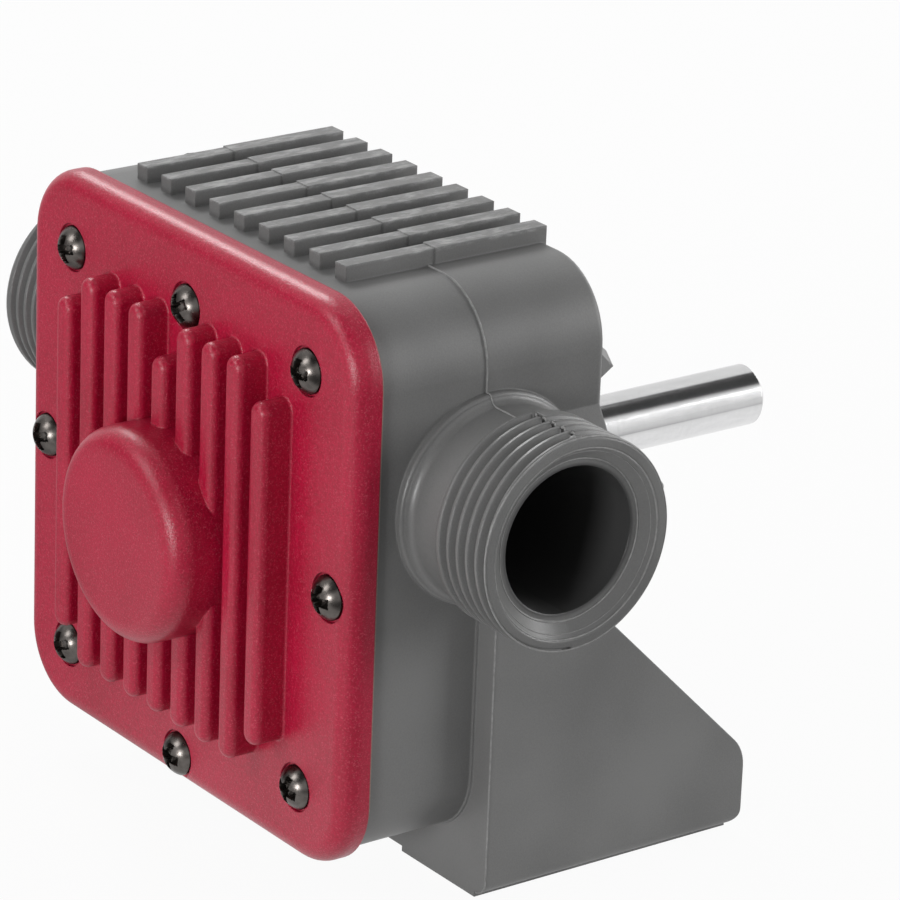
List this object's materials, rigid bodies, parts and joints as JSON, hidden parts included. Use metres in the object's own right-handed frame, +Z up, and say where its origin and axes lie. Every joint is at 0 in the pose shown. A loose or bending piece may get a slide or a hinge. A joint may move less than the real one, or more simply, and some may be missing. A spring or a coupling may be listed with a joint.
{
  "type": "drill powered pump",
  "caption": "Self-priming transfer pump with two threaded hose ports, a ribbed front cover, a sloping foot and a plain shaft for a drill chuck.",
  "frame": {"origin": "on the floor, on the shaft's centre plane, under the middle of the pump's length", "axes": "+X across the two hose ports, +Y back along the drive shaft, +Z up"},
  "size_m": [0.1036, 0.0978, 0.0785],
  "materials": {
    "housing_plastic": "moulded, fine matte grain",
    "cover_plastic": "moulded, satin with a fine metallic fleck",
    "gasket_rubber": "pale fibre sheet",
    "screw_steel": "black oxide",
    "bush_bronze": "sintered bronze",
    "plate_steel": "rolled stainless steel",
    "seal_rubber": "moulded nitrile rubber",
    "shaft_steel": "ground bright steel",
    "hub_brass": "turned brass",
    "impeller_rubber": "moulded nitrile rubber",
    "clip_steel": "phosphated spring steel"
  },
  "bodies": {
    "casing": {"housing": "housing_plastic", "front_cover": "cover_plastic", "cover_gasket": "gasket_rubber", "cover_screws": "screw_steel", "front_bush": "bush_bronze", "front_thrust_disc": "plate_steel", "front_wear_plate": "plate_steel", "rear_wear_plate": "plate_steel", "seal_case": "plate_steel", "seal_lip": "seal_rubber", "seal_spring": "plate_steel", "rear_bush": "bush_bronze", "rear_thrust_washer": "plate_steel"},
    "rotor": {"drive_shaft": "shaft_steel", "drive_pin": "shaft_steel", "impeller_hub": "hub_brass", "impeller": "impeller_rubber", "front_circlip": "clip_steel", "rear_circlip": "clip_steel"}
  },
  "joints": [
    {"name": "shaft_spin", "type": "hinge", "parent": "casing", "child": "rotor", "pos_m": [0, 0, 0.04015], "axis": [0, 1, 0], "continuous": true}
  ]
}
